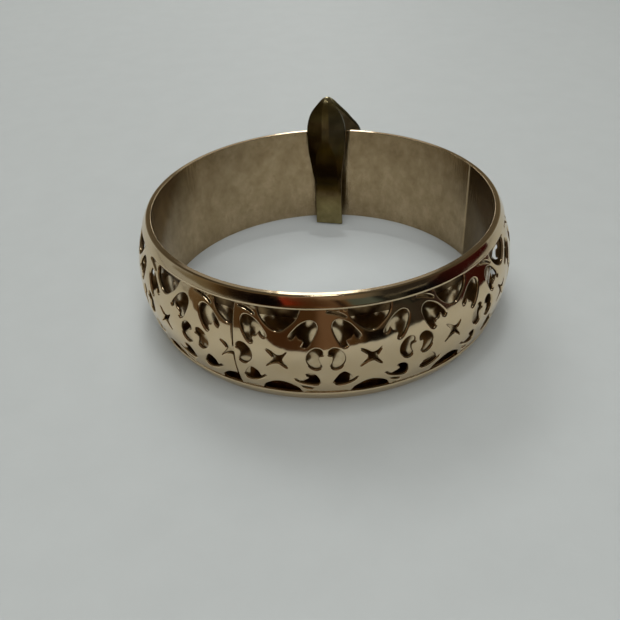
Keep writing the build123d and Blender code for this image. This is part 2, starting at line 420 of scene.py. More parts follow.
# %% Smooth outlines
SPLINE_SAMPLES = 14
LONGEST_STEP = 0.34
SHARPEST_TURN = math.radians(17)
SHORTEST_STEP = 0.05


def on_spline(a, b, c, d, t):
    """The point at a share t of the stretch from b to c, with a before it and d after it."""
    curve = 2 * b + (c - a) * t + (2 * a - 5 * b + 4 * c - d) * t**2 + (3 * b - a - 3 * c + d) * t**3
    return curve / 2


def smooth_loop(points):
    """A finely sampled smooth closed curve through the points."""
    p = np.array(points, float)
    a, b, c, d = np.roll(p, 1, axis=0), p, np.roll(p, -1, axis=0), np.roll(p, -2, axis=0)
    t = (np.arange(SPLINE_SAMPLES) / SPLINE_SAMPLES)[None, :, None]
    a, b, c, d = (x[:, None, :] for x in (a, b, c, d))
    return on_spline(a, b, c, d, t).reshape(-1, 2)


def thinned(loop):
    """The same closed curve with fewer points: short steps in bends, longer ones elsewhere."""
    step = np.roll(loop, -1, axis=0) - loop
    heading = np.unwrap(np.arctan2(step[:, 1], step[:, 0]))
    length = np.linalg.norm(step, axis=1)
    kept, run, last = [0], 0.0, heading[0]
    for i in range(1, len(loop)):
        run += length[i - 1]
        if run >= LONGEST_STEP or (abs(heading[i] - last) > SHARPEST_TURN and run > SHORTEST_STEP):
            kept.append(i)
            run, last = 0.0, heading[i]
    if run + length[-1] < SHORTEST_STEP:
        kept.pop()
    return loop[kept]


def turned_clockwise(loop):
    """The loop in the order that keeps the sheet on its left and the hole on its right."""
    x, y = loop[:, 0], loop[:, 1]
    area = np.sum(x * np.roll(y, -1) - np.roll(x, -1) * y) / 2
    return loop[::-1] if area > 0 else loop


print("a bracket takes", len(thinned(smooth_loop(BRACKET[1:]))), "points")

# %% [markdown]
# ## The strip and its two ends
#
# The strip runs once round and its ends butt at a crack at the front left. It starts in the
# middle of a pair of brackets and ends just past the middle of a cross, so one cross, one bowl
# and one arch are cut in half there.
#
# Stamping is never quite even. Each hole is moved, turned and resized by a small amount, from
# a seeded source of random numbers, so the bangle comes out the same each time.

# %% Lay the holes out along the strip
CRACK_AZIMUTH = -25.4
CRACK_WIDTH = 0.2
REPEAT_LENGTH = 15.3
TUCK_HALF = 9.55
UNEVEN_SHIFT = 0.07
UNEVEN_TURN = math.radians(2.0)
UNEVEN_SIZE = 0.03
LEAST_NOTCH = 0.3

random = np.random.default_rng(28)
strip_length = 2 * math.pi * CROWN_RADIUS - CRACK_WIDTH
start_across = math.radians(CRACK_AZIMUTH) * CROWN_RADIUS + CRACK_WIDTH / 2


def uneven(points):
    """The points moved, turned and resized a little about their own middle."""
    middle = points.mean(axis=0)
    angle = random.uniform(-UNEVEN_TURN, UNEVEN_TURN)
    size = 1 + random.uniform(-UNEVEN_SIZE, UNEVEN_SIZE)
    c, s = size * math.cos(angle), size * math.sin(angle)
    shift = random.uniform(-UNEVEN_SHIFT, UNEVEN_SHIFT, 2)
    return (points - middle) @ np.array([[c, s], [-s, c]]) + middle + shift


def strip_holes():
    """Every hole that lies on the strip or crosses its end, as a clockwise loop on the chart."""
    holes = []
    for repeat in range(math.ceil(strip_length / REPEAT_LENGTH)):
        for table, side, start in MOTIFS[1:]:
            points = uneven(np.array(table[1:], float) * (side, 1))
            loop = thinned(smooth_loop(points)) + ((repeat + start) * REPEAT_LENGTH, 0)
            if loop[:, 0].min() < strip_length - LEAST_NOTCH:
                holes.append(turned_clockwise(loop))
    return holes


holes = strip_holes()
print(len(holes), "holes,", sum(len(h) for h in holes), "outline points")

# %% [markdown]
# Holes that cross the strip's end become notches in its edge. The edge is walked from the
# bottom to the top, and at each such hole it takes the way round the part that is on the strip.

# %% The strip's outer edge
EDGE_STEP = 0.45


def crossing_path(hole):
    """The part of a hole's loop that lies on the strip, from its lower end to its upper one."""
    inside = hole[:, 0] < strip_length
    first = next(i for i in range(len(hole)) if inside[i] and not inside[i - 1])
    hole, inside = np.roll(hole, -first, axis=0), np.roll(inside, -first)
    path = hole[inside]
    outside = hole[[-1, len(path)]]
    share = (strip_length - path[[0, -1], :1]) / (outside - path[[0, -1]])[:, :1]
    ends = path[[0, -1]] + share * (outside - path[[0, -1]])
    path = np.vstack([ends[:1], path, ends[1:]])
    return path if path[0, 1] < path[-1, 1] else path[::-1]


def stepped(a, b):
    """Points from a up to, but without, b at even steps."""
    a, b = np.array(a, float), np.array(b, float)
    count = max(1, round(np.linalg.norm(b - a) / EDGE_STEP))
    return [a + (b - a) * i / count for i in range(count)]


def outer_edge(crossed):
    """The strip's edge as one anticlockwise loop, with the notches that the crack cuts open."""
    edge = stepped((0, -TUCK_HALF), (strip_length, -TUCK_HALF))
    at = (strip_length, -TUCK_HALF)
    for path in sorted((crossing_path(h) for h in crossed), key=lambda p: p[0, 1]):
        edge += stepped(at, path[0])
        edge += list(path[:-1])
        at = path[-1]
    edge += stepped(at, (strip_length, TUCK_HALF))
    edge += stepped((strip_length, TUCK_HALF), (0, TUCK_HALF))
    edge += stepped((0, TUCK_HALF), (0, -TUCK_HALF))
    return np.array(edge)


crossed = [h for h in holes if h[:, 0].max() > strip_length]
whole = [h for h in holes if h[:, 0].max() <= strip_length]
loops = [outer_edge(crossed)] + whole
print(len(whole), "whole holes and", len(crossed), "cut by the crack")

# %% [markdown]
# ## Rolled lips
#
# A punch drags the metal with it, so each hole's edge is rolled inward rather than square. On
# a polished sheet that lip is what the eye reads: a thin bright line with a dark one beside it.
#
# The lip is a quarter round. Its radius has to shrink where the metal between two holes is
# narrow. The largest circle that touches the edge at a point, and holds no other edge point,
# says how much room there is, and the lip takes a share of it.

# %% Room for a lip at each edge point
LIP_RADIUS = 0.30
CRACK_LIP = 0.20
HIDDEN_LIP = 0.05
LIP_SHARE = 0.72
EVENING_PASSES = 3
NEAR = 1.6


def left_of(loop):
    """The direction into the sheet at each point of a loop."""
    ahead = unit(np.roll(loop, -1, axis=0) - loop)
    behind = unit(loop - np.roll(loop, 1, axis=0))
    along = unit(ahead + behind)
    return np.stack([-along[:, 1], along[:, 0]], axis=1)


def tree_of(points):
    """A search tree that finds the chart points near a place."""
    tree = kdtree.KDTree(len(points))
    for i, (x, y) in enumerate(points):
        tree.insert((x, y, 0), i)
    tree.balance()
    return tree


def lip_radii(loops, inward):
    """How large a lip fits at each point of each loop, evened out along it."""
    cloud = np.vstack(loops)
    tree = tree_of(cloud)
    radii = []
    for loop, normals in zip(loops, inward):
        room = np.empty(len(loop))
        for k, (p, n) in enumerate(zip(loop, normals)):
            near = cloud[[i for _, i, _ in tree.find_range((p[0], p[1], 0), NEAR)]] - p
            ahead = near @ n
            square = np.einsum("ij,ij->i", near, near)
            facing = ahead > 1e-6
            fits = (square[facing] / (2 * ahead[facing])).min() if facing.any() else NEAR
            room[k] = min(LIP_RADIUS, LIP_SHARE * fits)
        for _ in range(EVENING_PASSES):
            room = np.minimum(room, (np.roll(room, 1) + room + np.roll(room, -1)) / 3)
        radii.append(room)
    on_end = np.minimum(loops[0][:, 0], strip_length - loops[0][:, 0]) < 1e-6
    on_hem = np.abs(loops[0][:, 1]) > TUCK_HALF - 1e-6
    radii[0][on_end] = np.minimum(radii[0][on_end], CRACK_LIP)
    radii[0][on_hem] = HIDDEN_LIP
    return radii


inward = [left_of(loop) for loop in loops]
radii = lip_radii(loops, inward)
print("lips from", round(min(r.min() for r in radii), 3), "to", round(max(r.max() for r in radii), 3), "mm")

# %% [markdown]
# ## From the chart to the dome
#
# A point of the chart is placed on the dome by three numbers: how far along, how high, and how
# deep beneath the polished face. Two directions lie in the face there, and a third stands
# square to it. They turn chart directions into real ones.

# %% Chart to dome
TUCK_START, TUCK_END, TUCK_DEPTH = 8.20, 8.42, 0.21


def tuck(up):
    """Depth of the sheet's hidden edges, which step down under the rims, and its slope."""
    share = np.clip((np.abs(up) - TUCK_START) / (TUCK_END - TUCK_START), 0, 1)
    depth = TUCK_DEPTH * share * share * (3 - 2 * share)
    slope = TUCK_DEPTH * 6 * share * (1 - share) / (TUCK_END - TUCK_START)
    return depth, slope * np.sign(up)


def directions(chart):
    """Along, up and outward directions of the dome at points of the chart."""
    azimuth = (chart[:, 0] + start_across) / CROWN_RADIUS
    sine = chart[:, 1] / SHEET_ARC
    cosine = np.sqrt(1 - sine**2)
    s, c, zero = np.sin(azimuth), np.cos(azimuth), np.zeros(len(chart))
    along = np.stack([c, s, zero], axis=1)
    upward = np.stack([-sine * s, sine * c, cosine], axis=1)
    outward = np.stack([cosine * s, -cosine * c, sine], axis=1)
    return along, upward, outward


def on_dome(chart, depth):
    """Points on the dome, in millimetres, at a depth beneath its face."""
    along, _, outward = directions(chart)
    from_axis = along[:, [1, 0, 2]] * [ARC_CENTRE, -ARC_CENTRE, 0]
    return from_axis + outward * np.reshape(SHEET_ARC - depth, (-1, 1)) + [0, 0, MID_HEIGHT]


def face_normals(chart):
    """Normals of the polished face itself, with the step down under the rims."""
    _, upward, outward = directions(chart)
    return unit(outward + tuck(chart[:, 1])[1][:, None] * upward)


# %% [markdown]
# ## Filling the sheet with triangles
#
# The metal between the lips is an odd shape full of holes. A constrained Delaunay
# triangulation fills such a shape: it takes loose points and keeps the loops as edges. Points
# at even steps inside keep the triangles small, so that the dome stays round.
#
# The back of the sheet is filled in the same way, with fewer points, since it only shows
# through other holes.

# %% Fill between loops
FRONT_STEP = 0.75
BACK_STEP = 1.8
CLEAR_SHARE = 0.6


def grid_points(step, around):
    """Points at even steps on the strip that keep clear of the loops."""
    tree = tree_of(around)
    row_height = step * math.sqrt(3) / 2
    points = []
    for row in range(1, int(2 * TUCK_HALF / row_height)):
        for column in range(int(strip_length / step)):
            x = (column + 0.5 * (row % 2) + 0.25) * step
            y = -TUCK_HALF + row * row_height
            if tree.find((x, y, 0))[2] > CLEAR_SHARE * step:
                points.append((x, y))
    return points


def filled(rings, step):
    """Triangles of the sheet between closed rings. The first ring is its outer edge."""
    ring_points = np.vstack(rings)
    points = [tuple(p) for p in ring_points] + grid_points(step, ring_points)
    faces, first = [], 0
    for ring in rings:
        around = list(range(first, first + len(ring)))
        faces.append(around if first == 0 else around[::-1])
        first += len(ring)
    out = delaunay_2d_cdt([Vector(p) for p in points], [], faces, 1, 1e-6, True)
    verts, _, triangles, sources, _, inside = out
    sheet = [list(t) for t, owners in zip(triangles, inside) if list(owners) == [0]]
    return verts, sheet, sources, len(ring_points)


# %% [markdown]
# Everything is joined into one closed sheet: its face and its back are filled, and each edge
# loop gets rings of points from the flat metal down over the lip, then the short wall of the
# sheet's thickness. The wall takes the normals of the lip's foot, so no line shows between them.

# %% A mesh on the chart
SHEET_PLATED, SHEET_HIDDEN = 0, 1


class SheetMesh:
    """Points, faces and corner normals of the sheet while it is put together."""

    def __init__(self):
        self.points, self.normal_at, self.faces, self.corners, self.finish = [], [], [], [], []

    def add_points(self, chart, depth, normals):
        """Put chart points on the dome. Gives the number of the first."""
        self.points.extend(on_dome(chart, depth))
        self.normal_at.extend(normals)
        return len(self.points) - len(chart)

    def add_faces(self, faces, finish, shaded_as=None):
        """Add faces of point numbers, which may be shaded with the normals of other points."""
        for face, shading in zip(faces, shaded_as or faces):
            self.faces.append(tuple(face))
            self.corners.extend(self.normal_at[v] for v in shading)
            self.finish.append(finish)

    def fill(self, rings, step, depth_at, normals_at, finish, order=1):
        """Fill between the rings. Gives the point that stands at each point of the rings."""
        verts, triangles, sources, ring_count = filled(rings, step)
        chart = np.array([(v.x, v.y) for v in verts])
        first = self.add_points(chart, depth_at(chart), normals_at(chart))
        self.add_faces([[first + v for v in t[::order]] for t in triangles], finish)
        print("filled with", len(triangles), "triangles,", sum(not s for s in sources), "stray points")
        return {s: first + v for v, found in enumerate(sources) for s in found if s < ring_count}


# %% The pierced sheet
LIP_ANGLES = np.radians([20, 40, 60, 78, 90])


def lip_normals(chart, into_hole, angle):
    """Normals of a lip where it has turned by an angle from the flat towards the hole."""
    along, upward, _ = directions(chart)
    sideways = into_hole[:, :1] * along + into_hole[:, 1:] * upward
    return unit(math.cos(angle) * face_normals(chart) + math.sin(angle) * sideways)


def add_lips(sheet, face_point, back_point):
    """Each loop's rolled lip, and the short wall from its foot to the back."""
    base = 0
    for loop, radius, into_sheet in zip(loops, radii, inward):
        numbers = range(base, base + len(loop))
        ring = [face_point[n] for n in numbers]
        for angle in LIP_ANGLES:
            chart = loop + (radius * (1 - math.sin(angle)))[:, None] * into_sheet
            depth = tuck(chart[:, 1])[0] + radius * (1 - math.cos(angle))
            first = sheet.add_points(chart, depth, lip_normals(chart, -into_sheet, angle))
            lower = list(range(first, first + len(loop)))
            sheet.add_faces(ladder(lower, ring), SHEET_PLATED)
            ring = lower
        back = [back_point[n] for n in numbers]
        sheet.add_faces(ladder(back, ring), SHEET_HIDDEN, shaded_as=ladder(ring, ring))
        base += len(loop)


def pierced_sheet():
    """The domed sheet with its rolled holes, closed at the back."""
    sheet = SheetMesh()
    rings = [loop + r[:, None] * n for loop, r, n in zip(loops, radii, inward)]
    face_point = sheet.fill(rings, FRONT_STEP, lambda c: tuck(c[:, 1])[0], face_normals, SHEET_PLATED)
    back_point = sheet.fill(
        loops, BACK_STEP, lambda c: PIERCED_SHEET, lambda c: -directions(c)[2], SHEET_HIDDEN, order=-1
    )
    add_lips(sheet, face_point, back_point)
    return solid_from("pierced_sheet", np.array(sheet.points), sheet.faces, sheet.corners, sheet.finish)


pierced = pierced_sheet()
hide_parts("pierced_band")
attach(pierced, BODY)
print("pierced sheet:", triangle_count(pierced), "triangles")

# %% [markdown]
# ## Finishes
#
# Colours are written as sRGB hex values, as a colour picker gives them. Shaders work in linear
# light, so one function turns them over. Another adds a node with its settings and its links,
# which keeps each material short enough to read. Two more build what several finishes share: a
# mottle between colours, and the azimuth round the wrist axis.

# %% Material helpers
def linear(hex_colour):
    """An sRGB hex colour as linear red, green, blue and alpha."""
    channels = [int(hex_colour[i : i + 2], 16) / 255 for i in (1, 3, 5)]
    return (*[c / 12.92 if c <= 0.04045 else ((c + 0.055) / 1.055) ** 2.4 for c in channels], 1.0)


def feed(node, inputs):
    """Give a node its inputs: values, output sockets, or nodes, which pass on their first output."""
    for name, value in inputs.items():
        if isinstance(value, bpy.types.Node):
            value = value.outputs[0]
        if isinstance(value, bpy.types.NodeSocket):
            node.id_data.links.new(value, node.inputs[name])
        else:
            node.inputs[name].default_value = value


def add_node(tree, kind, inputs=None, stops=None, **settings):
    """A node of a kind with its inputs. A colour ramp also takes stops, as (position, hex colour)."""
    node = tree.nodes.new("ShaderNode" + kind)
    for i, (position, colour) in enumerate(stops or []):
        elements = node.color_ramp.elements
        element = elements[i] if i < len(elements) else elements.new(position)
        element.position, element.color = position, linear(colour)
    for name, value in settings.items():
        setattr(node, name, value)
    feed(node, inputs or {})
    return node


def new_material(name):
    """A new material: its node tree, its main shader, and coordinates in metres."""
    material = bpy.data.materials.new(name)
    material.use_nodes = True
    tree = material.node_tree
    place = add_node(tree, "TexCoord").outputs["Object"]
    return material, tree, tree.nodes["Principled BSDF"], place


def per_mm(millimetres):
    """The texture scale that makes one feature of a pattern that long."""
    return 1 / (millimetres * MM)


def mottled(tree, place, size, stops, **detail):
    """Slow noise with features that many millimetres long, and the colour its stops make of it."""
    noise = add_node(tree, "TexNoise", {"Vector": place, "Scale": per_mm(size), **detail})
    return noise, add_node(tree, "ValToRGB", {"Fac": noise}, stops)


def azimuth_and_height(tree, place):
    """The azimuth round the wrist axis from the front, in radians, and the height in metres."""
    xyz = add_node(tree, "SeparateXYZ", {"Vector": place}).outputs
    near = add_node(tree, "Math", {0: xyz["Y"], 1: -1.0}, operation="MULTIPLY")
    return add_node(tree, "Math", {0: xyz["X"], 1: near}, operation="ARCTAN2"), xyz["Z"]


# %% [markdown]
# ### Champagne gold plate, polished
#
# The bangle is cheap brass under a thin gold-toned plate, tumbled and polished to a mirror. Its
# colour is the paleness of champagne gold. What shows is mostly what it reflects, so the shader
# is a plain metal, nearly smooth. Two things keep it from looking computed: slow waves a few
# millimetres long, and a faint haze where it was handled.
#
# There are two of it. Stamping leaves the pierced sheet wavy, while rolling leaves the rims so
# even that a lamp is drawn along them as one clean line.

# %% Champagne gold plate
WAVE_LENGTH, WAVE_DEPTH = 5.0, 0.3
CLEAR_POLISH, HAZY_POLISH = 0.06, 0.13


def champagne_plate(name, wave_strength):
    """Polished gold-toned plate with slow waves and a little haze."""
    material, tree, shader, place = new_material(name)
    haze, tone = mottled(tree, place, WAVE_LENGTH, [(0.3, "#DAC39D"), (0.7, "#DFCAA8")], Detail=4.0)
    limits = {"From Min": 0.3, "From Max": 0.75, "To Min": CLEAR_POLISH, "To Max": HAZY_POLISH}
    gloss = add_node(tree, "MapRange", {"Value": haze, **limits})
    waves = add_node(tree, "TexNoise", {"Vector": place, "Scale": per_mm(WAVE_LENGTH), "Detail": 1.5})
    relief = {"Height": waves, "Strength": wave_strength, "Distance": WAVE_DEPTH * MM}
    bump = add_node(tree, "Bump", relief)
    feed(shader, {"Metallic": 1.0, "Base Color": tone, "Roughness": gloss, "Normal": bump})
    return material


# %% [markdown]
# ### Brushed liner
#
# The inside was never polished. It keeps the fine scratches of the belt that dressed the strip
# along its length. Scratches spread a reflection across themselves, so what the liner reflects
# is drawn out upright, and the shader is told so with its anisotropy. The colour is a duller
# tan with a few faint stains, and it darkens over fifty degrees up to one side of the seam.
#
# A fainter grain stands upright, across the strip. Real grain is about a tenth of a millimetre
# wide, which is too fine to show from here, so it is drawn four times as coarse.

# %% Brushed liner
STAIN_SIZE = 3.5
GRAIN_WIDTH, GRAIN_DEPTH = 0.45, 0.05
SEAM_DARK_REACH = 50


def brushed_liner():
    """Satin gold-toned plate with an upright grain, faint stains and a darker stretch by the seam."""
    material, tree, shader, place = new_material("brushed_gold_liner")
    drawn = add_node(tree, "Mapping", {"Vector": place, "Scale": (1.0, 1.0, 0.75)})
    stops = [(0.30, "#A28C6A"), (0.5, "#BAA480"), (0.7, "#D2BC98")]
    _, tone = mottled(tree, drawn, STAIN_SIZE, stops, Detail=7.0, Roughness=0.78)
    azimuth, _ = azimuth_and_height(tree, place)
    # The liner turns darker over fifty degrees up to the seam, on one side of it
    low, high = math.radians(SEAM_AZIMUTH - SEAM_DARK_REACH), math.radians(SEAM_AZIMUTH)
    share = add_node(tree, "MapRange", {"Value": azimuth, "From Min": low, "From Max": high})
    stops = [(0.0, "#FFFFFF"), (0.5, "#B4AC98"), (0.985, "#A8A08C"), (1.0, "#FFFFFF")]
    seam_side_tint = add_node(tree, "ValToRGB", {"Fac": share}, stops)
    layers = {"Factor": 1.0, 6: tone, 7: seam_side_tint}
    stained = add_node(tree, "Mix", layers, data_type="RGBA", blend_type="MULTIPLY")
    upright = add_node(tree, "Mapping", {"Vector": place, "Scale": (1.0, 1.0, 0.12)})
    grain = add_node(tree, "TexNoise", {"Vector": upright, "Scale": per_mm(GRAIN_WIDTH), "Detail": 3.0})
    bump = add_node(tree, "Bump", {"Height": grain, "Strength": 0.5, "Distance": GRAIN_DEPTH * MM})
    round_axis = add_node(tree, "Tangent", direction_type="RADIAL", axis="Z")
    feed(shader, {"Metallic": 1.0, "Roughness": 0.26, "Anisotropic": 0.95, "Anisotropic Rotation": 0.25})
    feed(shader, {"Base Color": stained.outputs[2], "Normal": bump, "Tangent": round_axis})
    return material


# %% [markdown]
# ### The unpolished inside
#
# Between the two sheets nothing was ever polished, and that makes the holes read as holes. The
# plating bath reached in unevenly: the liner's back is light and has some shine, and the back of
# the pierced sheet is dull. Above FOLD_SHADE, the liner's back and the fold under the top rim are
# painted dark brown, as painted shade.

# %% Unpolished inside
GRIME_SIZE = 1.5


def dull_inside_and_shade(name, dark, light, roughness):
    """Thin, dull plate inside the hollow wall, mottled between two tones. With the fold's dark tones it is
    painted shade.
    """
    material, tree, shader, place = new_material(name)
    _, tone = mottled(tree, place, GRIME_SIZE, [(0.35, dark), (0.65, light)], Detail=4.0)
    feed(shader, {"Metallic": 1.0, "Base Color": tone, "Roughness": roughness})
    return material


for plate in (
    champagne_plate("stamped_gold_plate", wave_strength=0.6),
    dull_inside_and_shade("dull_sheet_back", "#80684A", "#A08662", 0.4),
):
    pierced.data.materials.append(plate)
for plate in (
    champagne_plate("rolled_gold_plate", wave_strength=0.2),
    brushed_liner(),
    dull_inside_and_shade("dull_liner_back", "#D2BA94", "#E8D4B0", 0.16),
    # Painted shade for the fold and the liner's back under the top rim
    dull_inside_and_shade("painted_shade_fold", "#5E4A32", "#8A7250", 0.3),
):
    liner.data.materials.append(plate)
print("finishes:", [m.name for m in bpy.data.materials])

# %% [markdown]
# ## The clip
#
# The clip is one strap of brass folded over the wall. In front it swells into a leaf-shaped
# head with a narrow ridge, and below that it is a plain bar. Its edges were tumbled soft.
#
# A bevel modifier could soften the solid's edges, but the head's outline would stay a chain of
# straight runs. So the same sections as in the solid are read off a table, eased from one to
# the next, and skinned. Where the ridge opens out into the bar, its width is not eased, which
# keeps that crease crisp.

# %% Sections of the clip
CLIP_AZIMUTH = 176.6
CLIP_TURN = 9.0
CLIP_STRAP = 0.95
CLIP_RIDGE = 0.9
CLIP_LEAF_WIDTH = 8.4
CLIP_HEIGHT = 28.2
CLIP_SPREAD = 2.125
CLIP_EDGE = 0.24
CLIP_CREASE = 0.14
CLIP_EASE = 9

# Reach, aside, height and ridge are shares of the clip's spread, leaf width, height and ridge
CLIP_SECTIONS = [
    ("reach", "height", "aside", "turn", "width", "flat", "ridge"),
    (-2.42, 0.007, 0.11, 88, 6.00, 0.80, 0.10),
    (-2.33, 0.300, 0.10, 87, 6.00, 0.80, 0.10),
    (-2.33, 0.400, 0.09, 86, 6.18, 0.80, 0.60),
    (-1.99, 0.580, 0.06, 82, 7.73, 0.56, 0.90),
    (-1.73, 0.685, 0.05, 80, 8.32, 0.18, 1.00),
    (-1.40, 0.790, 0.04, 74, 8.40, 0.18, 1.00),
    (-0.96, 0.880, 0.02, 64, 6.72, 0.20, 0.90),
    (-0.45, 0.937, 0.00, 45, 3.53, 0.22, 0.60),
    (0.03, 0.952, 0.01, 0, 1.68, 0.25, 0.30),
    (0.60, 0.895, 0.08, -50, 2.86, 0.22, 0.60),
    (1.14, 0.795, 0.24, -70, 5.04, 0.20, 0.80),
    (1.40, 0.660, 0.34, -82, 8.06, 0.20, 0.80),
    (1.50, 0.400, 0.36, -88, 4.80, 0.40, 0.40),
]


def eased_sections():
    """The table's rows with smooth steps between them. The flat's share stays straight."""
    rows = np.array(CLIP_SECTIONS[1:], float)
    padded = np.vstack([2 * rows[0] - rows[1], rows, 2 * rows[-1] - rows[-2]])
    flat = CLIP_SECTIONS[0].index("flat")
    out = []
    for i in range(1, len(padded) - 2):
        a, b, c, d = padded[i - 1 : i + 3]
        for t in np.arange(CLIP_EASE) / CLIP_EASE:
            row = on_spline(a, b, c, d, t)
            row[flat] = b[flat] + (c[flat] - b[flat]) * t
            out.append(row)
    return np.array(out + [rows[-1]])


def clip_outline(width, flat, ridge):
    """The rounded outline of one section and its normals, across and beneath the strap."""
    half, crest = width / 2, CLIP_STRAP + ridge * CLIP_RIDGE
    left = [(-half, 0, CLIP_EDGE), (-half, -CLIP_STRAP, CLIP_EDGE), (-half * flat, -crest, CLIP_CREASE)]
    return rounded_profile(left + [(-x, y, rounding) for x, y, rounding in reversed(left)])


# %% [markdown]
# Five finishes go round each section. The ridge's crest is brightest: rubbed bright, with a painted
# sheen above the rim. The facet on its right is painted lighter and greyer than the left, as painted
# light, the edges are painted dark, as painted shade, and the strap's underside was left rough.

# %% Skin the clip
FACETS, CREST, EDGES, RIGHT_FACET, UNDERSIDE = range(5)


def strip_finishes():
    """The finish of each strip of faces round a section, which has six rounded corners."""
    half = CORNER_STEPS // 2
    edge = [EDGES] * (2 * CORNER_STEPS - 2 * half)
    left = [UNDERSIDE] * half + edge + [FACETS] * half
    right = [RIGHT_FACET] * (half + 1) + edge + [UNDERSIDE] * half
    return left + [CREST] * (2 * CORNER_STEPS - 1) + right


def clip_rings():
    """Each section's points where the clip stands, and their normals across it."""
    turn = math.radians(-CLIP_TURN + CLIP_AZIMUTH - 180)
    seat = Matrix.Rotation(math.radians(CLIP_AZIMUTH - 180), 3, "Z") @ Vector((0, WALL_MIDDLE, 0))
    c, s = math.cos(turn), math.sin(turn)
    placed_at = np.array([[c, s, 0], [-s, c, 0], [0, 0, 1]])
    rings, across = [], []
    for reach, height, aside, lean, width, flat, ridge in eased_sections():
        points, normals = clip_outline(width, flat, ridge)
        lean = math.radians(lean)
        axes = np.array([[1, 0, 0], [0, math.sin(lean), -math.cos(lean)]])
        origin = np.array([aside * CLIP_LEAF_WIDTH, reach * CLIP_SPREAD, height * CLIP_HEIGHT])
        rings.append((origin + points @ axes) @ placed_at + np.array(seat))
        across.append(normals @ axes @ placed_at)
    return np.array(rings), np.array(across)


def skinned_clip():
    """The clip: its sections skinned into one closed piece."""
    rings, across = clip_rings()
    lengthways = np.gradient(rings, axis=0)
    skin = across - unit(lengthways) * np.sum(across * unit(lengthways), axis=2, keepdims=True)
    skin = unit(skin).reshape(-1, 3)
    rows = numbered(*rings.shape[:2])
    faces = [face for here, ahead in zip(rows, rows[1:]) for face in ladder(here, ahead)]
    normals = [skin[v] for face in faces for v in face]
    finish = strip_finishes() * (len(rows) - 1)
    for end, order in ((0, -1), (-1, 1)):
        faces.append(tuple(rows[end][::order]))
        normals += [unit(lengthways[end].mean(axis=0)) * order] * len(rows[end])
        finish.append(CREST)
    return solid_from("brass_clip", rings.reshape(-1, 3), faces, normals, finish)


clip = skinned_clip()
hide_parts("back_clip")
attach(clip, BODY)
print("clip:", triangle_count(clip), "triangles, box", [round(x, 2) for x in clip.dimensions / MM])

# %% [markdown]
# ### Antique brass
#
# The clip is brass darkened with a chemical bath and rubbed back where a cloth reaches: on the tip,
# the ridge and the plain bar. Under the head, between the ridge and the bar, the patina is painted
# nearly black as painted shade, and the very tip is painted near white as a painted highlight. The
# change from one to the other is gradual, so the colour follows the height on the clip, through a
# list of stops in millimetres, and a mottle makes it uneven.

# %% Antique brass
PATCH_SIZE = 2.2
PATCH_DEPTH = 0.08


def antique_brass(name, stops, roughness):
    """Patinated brass with painted light and shade, whose stops are (height in millimetres, hex colour)."""
    material, tree, shader, place = new_material(name)
    height = add_node(tree, "SeparateXYZ", {"Vector": place}).outputs["Z"]
    share = add_node(tree, "MapRange", {"Value": height, "From Max": CLIP_HEIGHT * MM})
    worn = add_node(tree, "ValToRGB", {"Fac": share}, [(at / CLIP_HEIGHT, tint) for at, tint in stops])
    mottle, patches = mottled(tree, place, PATCH_SIZE, [(0.3, "#C8C4BC"), (0.7, "#FFFFFF")], Detail=5.0)
    layers = {"Factor": 1.0, 6: worn, 7: patches}
    tone = add_node(tree, "Mix", layers, data_type="RGBA", blend_type="MULTIPLY").outputs[2]
    bump = add_node(tree, "Bump", {"Height": mottle, "Strength": 0.2, "Distance": PATCH_DEPTH * MM})
    feed(shader, {"Metallic": 1.0, "Base Color": tone, "Roughness": roughness, "Normal": bump})
    return material


# %% The clip's finishes
RUBBED_BAR = [(0, "#A09468"), (4.2, "#94865C"), (6.2, "#82724C")]
# The tip's near white is a painted highlight on the rubbed metal
RUBBED_TIP_AND_HIGHLIGHT = [(27.3, "#8A7C50"), (27.9, "#F2E6B8")]
# From about 8.5 to 15 mm the lists are painted nearly black: patina, darkened as painted shade under the head
FACET_STOPS = [
    *RUBBED_BAR, (8.5, "#443419"), (11.5, "#2C200A"), (15, "#4C3C1E"), (19.6, "#665634"), (21.3, "#5A4C2A"),
    (23.4, "#615033"), (24.6, "#6F6540"), (26.2, "#837448"), *RUBBED_TIP_AND_HIGHLIGHT,
]
# The crest is rubbed bright, and above the rim it is painted lighter still, a painted sheen
CREST_STOPS = [
    *RUBBED_BAR, (7.4, "#6E5D3E"), (8.6, "#503F1E"), (10.4, "#302408"), (12.4, "#20160A"), (14.4, "#2E200C"),
    (16.5, "#5E4E28"), (18.4, "#74662F"), (19.6, "#7C7044"), (21.2, "#AEAC88"), (23.5, "#A8A484"),
    (24.6, "#A69C6E"), (26.2, "#AD9C65"), *RUBBED_TIP_AND_HIGHLIGHT,
]
# Above about 14 mm the right facet is painted lighter and greyer than the left, as painted light
RIGHT_STOPS = [
    *RUBBED_BAR, (8.5, "#443419"), (11.5, "#40301A"), (13.9, "#58451F"), (15.7, "#796537"), (17.5, "#86825C"),
    (19.2, "#868466"), (21, "#7F7E6A"), (24, "#706E5C"), (25, "#8A8468"), (26.2, "#9A8E66"), *RUBBED_TIP_AND_HIGHLIGHT,
]
# The edges are painted dark along their height, as painted shade
EDGE_SHADE_STOPS = [(0, "#6E5E3C"), (7, "#46361C"), (10, "#281C0A"), (20, "#34280F"), (26, "#6A5E36"), *RUBBED_TIP_AND_HIGHLIGHT]
UNDERSIDE_STOPS = [(0, "#B0A68C"), (20, "#B8AE96"), (28, "#C4BAA0")]

